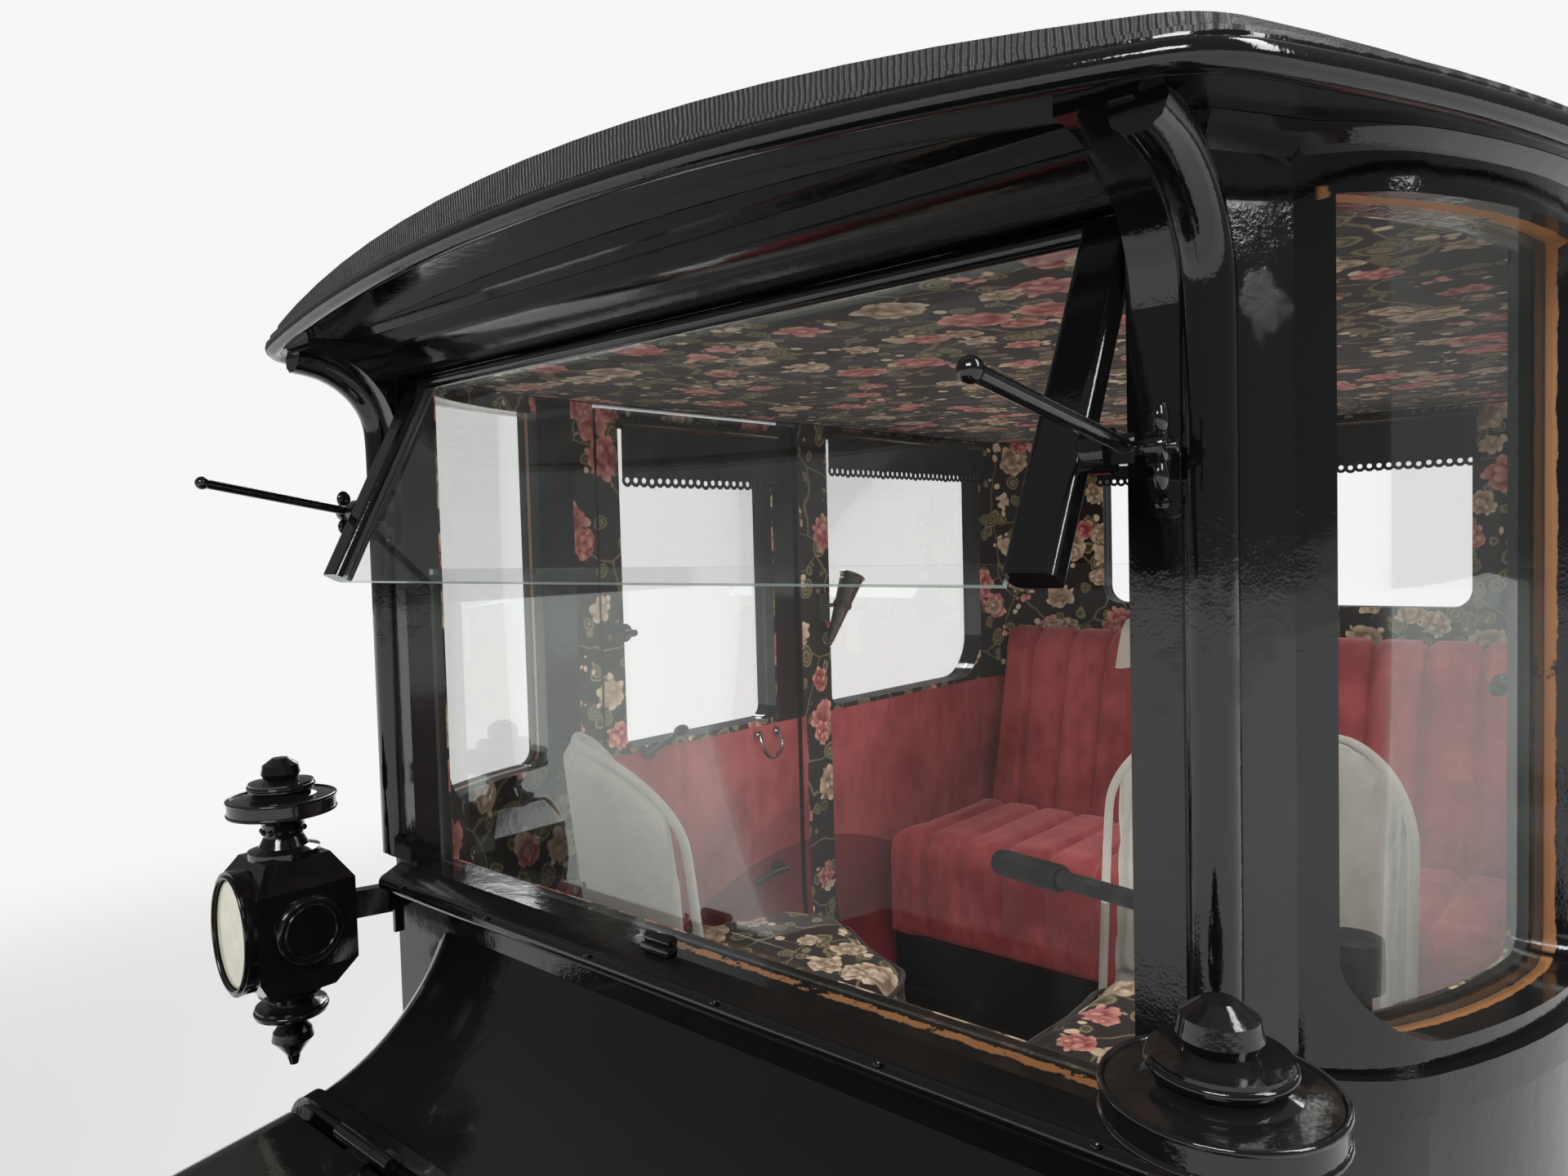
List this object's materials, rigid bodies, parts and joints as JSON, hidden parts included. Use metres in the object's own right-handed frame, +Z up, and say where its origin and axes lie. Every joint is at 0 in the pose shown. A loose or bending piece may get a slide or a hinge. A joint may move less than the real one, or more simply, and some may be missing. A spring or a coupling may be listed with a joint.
{
  "type": "early electric closed car with tiller steering",
  "caption": "Tall closed electric car of the brass era, with rounded cabin, overhanging roof, coach lamps, tiller steering and low battery boxes at both ends.",
  "frame": {"origin": "on the ground midway between the axles, on the centre line", "axes": "+X to the car's left, -Y to the front, +Z up"},
  "size_m": [1.66, 3.5202, 1.9798],
  "materials": {
    "body_paint": "thick glossy black coach paint",
    "chassis_paint": "satin black",
    "wheel_paint": "glossy dark paint on wood",
    "tyre_rubber": "matte rubber",
    "clear_glass": "clear, faint green edge",
    "lens_glass": "cream, semi-gloss",
    "roof_leather": "ribbed long grain",
    "floral_cloth": "woven floral pattern",
    "rose_velour": "velour with soft sheen",
    "grey_cloth": "fine wool cloth",
    "blind_cloth": "matte black",
    "carpet": "short pile",
    "nickel": "worn polish",
    "cast_metal": "painted casting",
    "battery_case": "matte black",
    "vase_glass": "amber tinted"
  },
  "bodies": {
    "root": {"chassis_frame": "chassis_paint", "cross_members": "chassis_paint", "spring_hangers": "chassis_paint", "board_brackets": "chassis_paint", "side_aprons": "body_paint", "leaf_springs": "chassis_paint", "front_axle": "chassis_paint", "rear_axle": "chassis_paint", "drive_motor": "cast_metal", "battery_blocks": "battery_case", "fenders": "body_paint", "running_boards": "body_paint", "floor": "carpet", "front_frame": "body_paint", "corner_panels": "body_paint", "rear_quarters": "body_paint", "back_panel": "body_paint", "cabin_glass": "clear_glass", "windscreen_glass": "clear_glass", "upper_sash": "body_paint", "upper_glass": "clear_glass", "roof": "roof_leather", "roof_rail": "body_paint", "headliner": "floral_cloth", "cowl": "body_paint", "front_box": "body_paint", "rear_box": "body_paint", "coach_lamps": "body_paint", "lamp_lenses": "lens_glass", "seat_bases": "floral_cloth", "bench_cushion": "rose_velour", "bench_back": "rose_velour", "seat_cushions": "floral_cloth", "seat_backs": "grey_cloth", "window_blinds": "blind_cloth", "flower_vase": "vase_glass"},
    "front_lid": {"front_lid": "body_paint"},
    "rear_lid": {"rear_lid": "body_paint"},
    "tiller": {"steering_tiller": "nickel"},
    "drag_link": {"drag_link": "chassis_paint"},
    "tie_rod": {"tie_rod": "chassis_paint"},
    "knuckle_left": {"knuckle_left": "chassis_paint"},
    "knuckle_right": {"knuckle_right": "chassis_paint"},
    "door_left": {"door_left": "body_paint", "door_glass_left": "clear_glass", "door_blind_left": "blind_cloth"},
    "door_right": {"door_right": "body_paint", "door_glass_right": "clear_glass", "door_blind_right": "blind_cloth"},
    "wheel_front_left": {"wheel_front_left": "wheel_paint", "tyre_front_left": "tyre_rubber"},
    "wheel_front_right": {"wheel_front_right": "wheel_paint", "tyre_front_right": "tyre_rubber"},
    "wheel_rear_left": {"wheel_rear_left": "wheel_paint", "tyre_rear_left": "tyre_rubber"},
    "wheel_rear_right": {"wheel_rear_right": "wheel_paint", "tyre_rear_right": "tyre_rubber"}
  },
  "joints": [
    {"name": "tiller_steer", "type": "hinge", "parent": "root", "child": "tiller", "pos_m": [0.5, -0.33, 1.25], "axis": [0, 0, 1], "range_deg": [-28, 28]},
    {"name": "knuckle_left_steer", "type": "hinge", "parent": "root", "child": "knuckle_left", "pos_m": [0.64, -1.275, 0.406], "axis": [0, 0, 1], "range_deg": [-28, 28]},
    {"name": "knuckle_right_steer", "type": "hinge", "parent": "root", "child": "knuckle_right", "pos_m": [-0.64, -1.275, 0.406], "axis": [0, 0, 1], "range_deg": [-28, 28]},
    {"name": "tie_rod_swivel", "type": "hinge", "parent": "knuckle_left", "child": "tie_rod", "pos_m": [0.64, -1.125, 0.351], "axis": [0, 0, 1], "range_deg": [-28, 28]},
    {"name": "drag_link_swivel", "type": "hinge", "parent": "tiller", "child": "drag_link", "pos_m": [0.32, -0.33, 0.4765], "axis": [0, 0, 1], "range_deg": [-28, 28]},
    {"name": "wheel_front_left_spin", "type": "hinge", "parent": "knuckle_left", "child": "wheel_front_left", "pos_m": [0.71, -1.275, 0.406], "axis": [1, 0, 0], "continuous": true},
    {"name": "wheel_front_right_spin", "type": "hinge", "parent": "knuckle_right", "child": "wheel_front_right", "pos_m": [-0.71, -1.275, 0.406], "axis": [1, 0, 0], "continuous": true},
    {"name": "wheel_rear_left_spin", "type": "hinge", "parent": "root", "child": "wheel_rear_left", "pos_m": [0.71, 1.275, 0.406], "axis": [1, 0, 0], "continuous": true},
    {"name": "wheel_rear_right_spin", "type": "hinge", "parent": "root", "child": "wheel_rear_right", "pos_m": [-0.71, 1.275, 0.406], "axis": [1, 0, 0], "continuous": true},
    {"name": "door_left_hinge", "type": "hinge", "parent": "root", "child": "door_left", "pos_m": [0.692, -0.26, 1.2], "axis": [0, 0, -1], "range_deg": [0, 80]},
    {"name": "door_right_hinge", "type": "hinge", "parent": "root", "child": "door_right", "pos_m": [-0.692, -0.26, 1.2], "axis": [0, 0, 1], "range_deg": [0, 80]},
    {"name": "front_lid_hinge", "type": "hinge", "parent": "root", "child": "front_lid", "pos_m": [0, -0.872, 1.055], "axis": [-1, 0, 0], "range_deg": [0, 60]},
    {"name": "rear_lid_hinge", "type": "hinge", "parent": "root", "child": "rear_lid", "pos_m": [0, 1.297, 1.055], "axis": [1, 0, 0], "range_deg": [0, 60]}
  ],
  "couplings": [
    {"joint": "knuckle_left_steer", "follows": "tiller_steer", "ratio": 1},
    {"joint": "knuckle_right_steer", "follows": "tiller_steer", "ratio": 1},
    {"joint": "tie_rod_swivel", "follows": "tiller_steer", "ratio": -1},
    {"joint": "drag_link_swivel", "follows": "tiller_steer", "ratio": -1}
  ]
}
